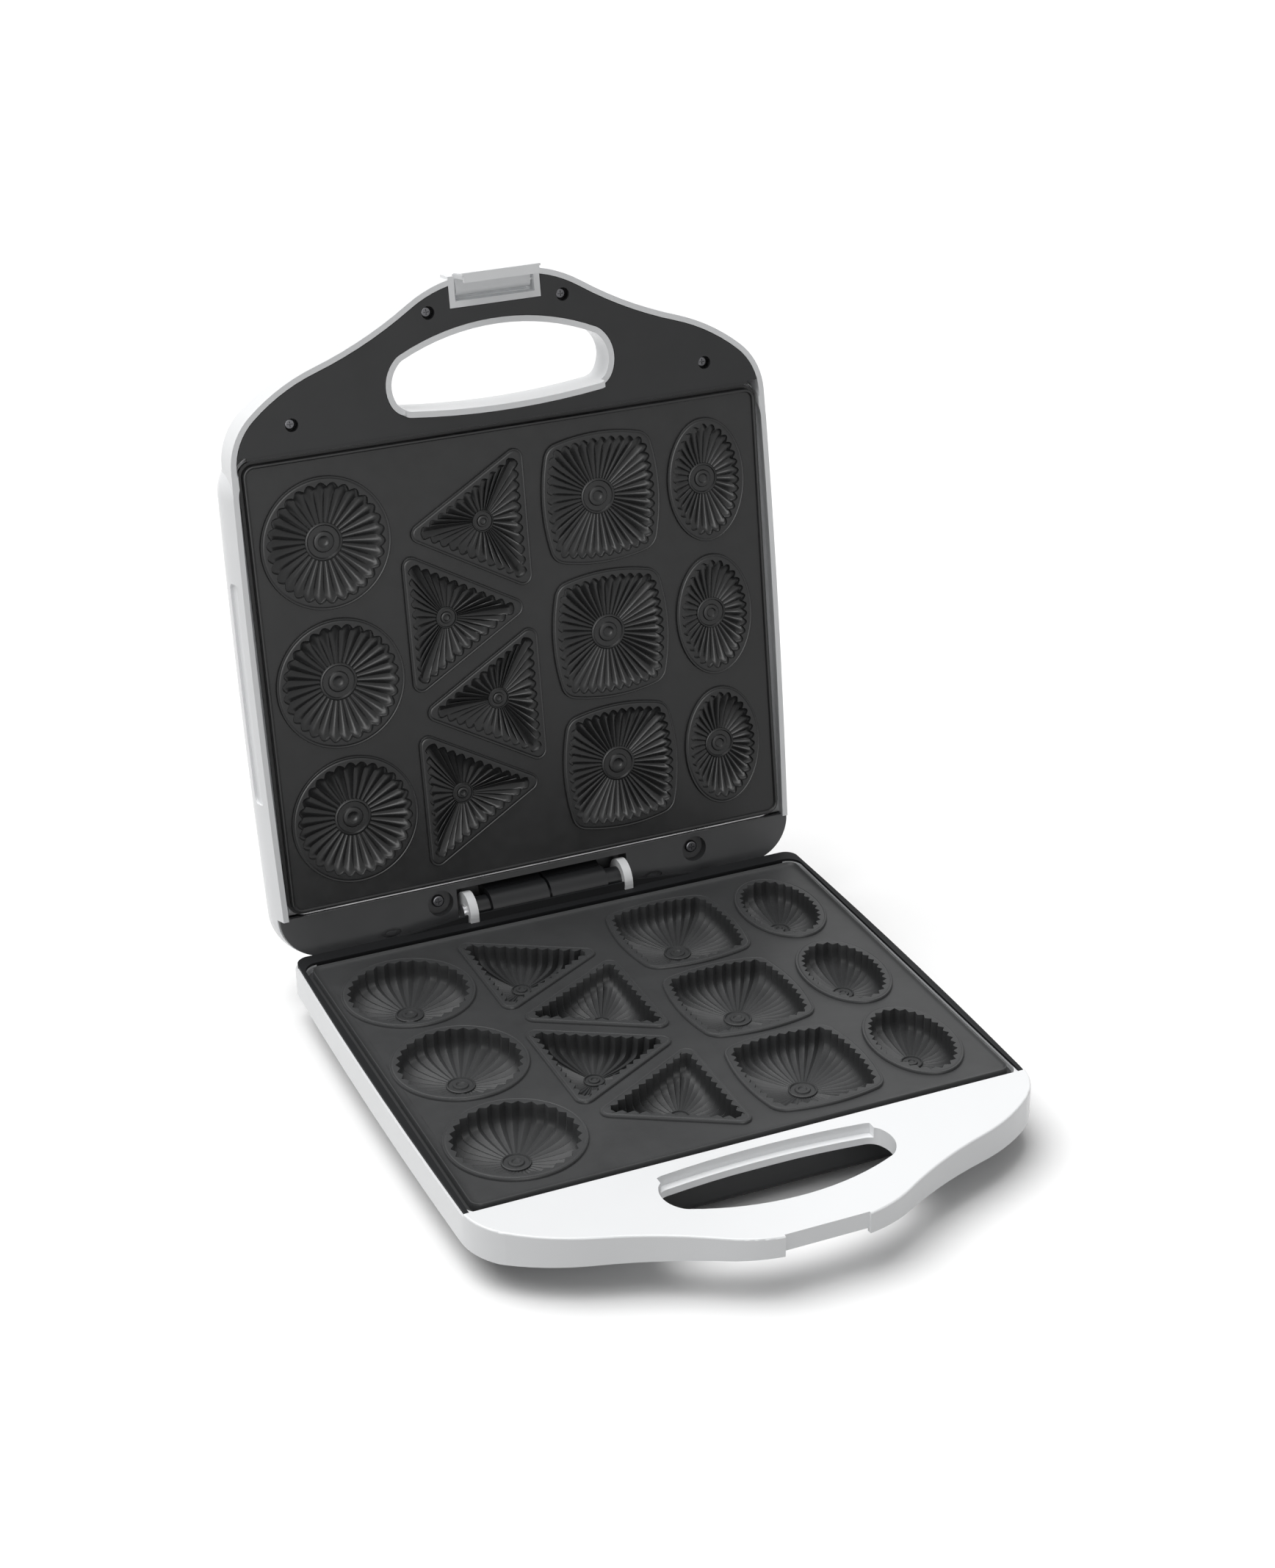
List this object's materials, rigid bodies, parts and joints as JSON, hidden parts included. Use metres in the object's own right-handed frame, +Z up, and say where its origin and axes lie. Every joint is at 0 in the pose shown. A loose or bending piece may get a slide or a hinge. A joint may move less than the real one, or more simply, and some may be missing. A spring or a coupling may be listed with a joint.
{
  "type": "biscuit maker",
  "caption": "Countertop biscuit maker with hinged lid, hand-hole handles, latch and non-stick plates with fluted round, square, oval and triangular forms.",
  "frame": {"origin": "on the surface it stands on, under the middle of the opened appliance's outline", "axes": "+Z up, -Y toward the base's handle, +X to the right of someone facing the handle; the hinge runs along X"},
  "size_m": [0.256, 0.344, 0.3184],
  "materials": {
    "white_gloss_plastic": "gloss",
    "black_plastic": "satin",
    "dark_grey_plastic": "satin",
    "nonstick_aluminium": "matte",
    "bright_aluminium": "satin",
    "heater_steel": "satin",
    "plain_steel": "satin",
    "screw_steel": "satin",
    "foot_rubber": "matte",
    "ceramic_white": "matte",
    "lamp_lens": "gloss"
  },
  "bodies": {
    "base": {"base_housing": "white_gloss_plastic", "base_border": "dark_grey_plastic", "bottom_cover": "black_plastic", "rubber_feet": "foot_rubber", "base_screws": "screw_steel", "lower_plate": "nonstick_aluminium", "lower_plate_frame": "bright_aluminium", "lower_plate_screws": "screw_steel", "lower_heating_element": "heater_steel", "lower_element_clamps": "plain_steel", "lower_clamp_screws": "screw_steel", "lower_reflector": "bright_aluminium", "thermostat": "ceramic_white", "terminal_block": "ceramic_white", "cord_gland": "foot_rubber", "hinge_pin": "plain_steel", "hinge_bushings": "black_plastic"},
    "lid": {"lid_housing": "white_gloss_plastic", "lid_handle_cover": "black_plastic", "handle_cover_screws": "screw_steel", "lid_rear_cover": "dark_grey_plastic", "rear_cover_screws": "screw_steel", "hinge_barrel_left": "black_plastic", "hinge_barrel_right": "black_plastic", "upper_plate": "nonstick_aluminium", "upper_plate_frame": "bright_aluminium", "upper_plate_screws": "screw_steel", "upper_heating_element": "heater_steel", "upper_element_clamps": "plain_steel", "upper_clamp_screws": "screw_steel", "upper_reflector": "bright_aluminium", "thermal_fuse": "plain_steel", "indicator_lenses": "lamp_lens", "lamp_holder": "ceramic_white", "latch_pin": "plain_steel"},
    "latch": {"latch_clip": "white_gloss_plastic"}
  },
  "joints": [
    {"name": "lid_hinge", "type": "hinge", "parent": "base", "child": "lid", "pos_m": [0, 0.1132, 0.0312], "axis": [1, 0, 0], "range_deg": [0, 98.3]},
    {"name": "latch_pivot", "type": "hinge", "parent": "lid", "child": "latch", "pos_m": [0, 0.15741, 0.30792], "axis": [-1, 0, 0], "range_deg": [-4, 60]}
  ]
}
